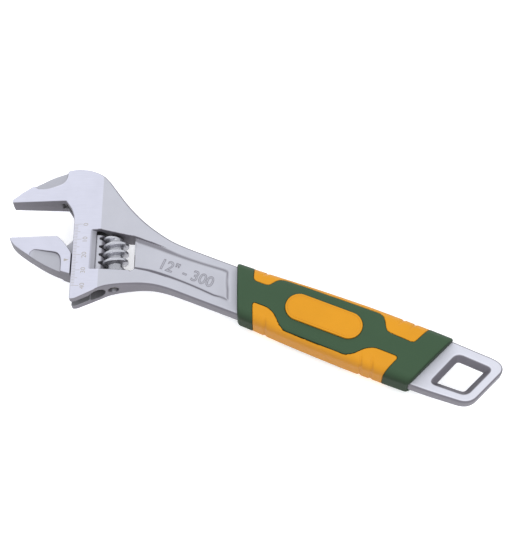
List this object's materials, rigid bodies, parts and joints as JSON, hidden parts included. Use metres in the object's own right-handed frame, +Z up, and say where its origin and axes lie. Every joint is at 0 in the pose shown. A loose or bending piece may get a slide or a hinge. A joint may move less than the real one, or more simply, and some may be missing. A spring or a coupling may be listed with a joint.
{
  "type": "adjustable wrench",
  "caption": "Adjustable wrench with a sliding lower jaw driven by a worm, a forged steel body, a two-colour moulded grip and a slotted hanging tab.",
  "frame": {"origin": "middle of the footprint of the wrench lying on its back, on the plane that its grip's back badge rests on", "axes": "+X along the handle from the jaws to the hanging tab, +Y towards the fixed jaw's side, +Z up out of the front face"},
  "size_m": [0.3036, 0.0812, 0.0256],
  "materials": {
    "forged_steel": "satin chrome over a forging, brushed on the head's faces",
    "jaw_steel": "satin chrome over a forging, brushed on the faces",
    "worm_steel": "bright turned steel",
    "pin_steel": "dark oiled steel",
    "spring_steel": "drawn wire",
    "grip_yellow": "smooth orange-yellow moulding",
    "grip_green": "dark green soft moulding"
  },
  "bodies": {
    "frame": {"wrench_body": "forged_steel", "worm_pin": "pin_steel", "worm_spring": "spring_steel", "grip_core": "grip_yellow", "grip_sleeve": "grip_green"},
    "jaw": {"movable_jaw": "jaw_steel"},
    "worm": {"worm": "worm_steel"}
  },
  "joints": [
    {"name": "jaw_slide", "type": "slide", "parent": "frame", "child": "jaw", "axis": [0.3827, -0.9239, 0], "range_m": [-0.0227, 0.017]},
    {"name": "worm_spin", "type": "hinge", "parent": "frame", "child": "worm", "pos_m": [-0.07995, -0.00387, 0.0128], "axis": [-0.3827, 0.9239, 0], "range_deg": [-1600, 1200]}
  ],
  "couplings": [
    {"joint": "worm_spin", "follows": "jaw_slide", "rad_per_m": 1196.8}
  ]
}
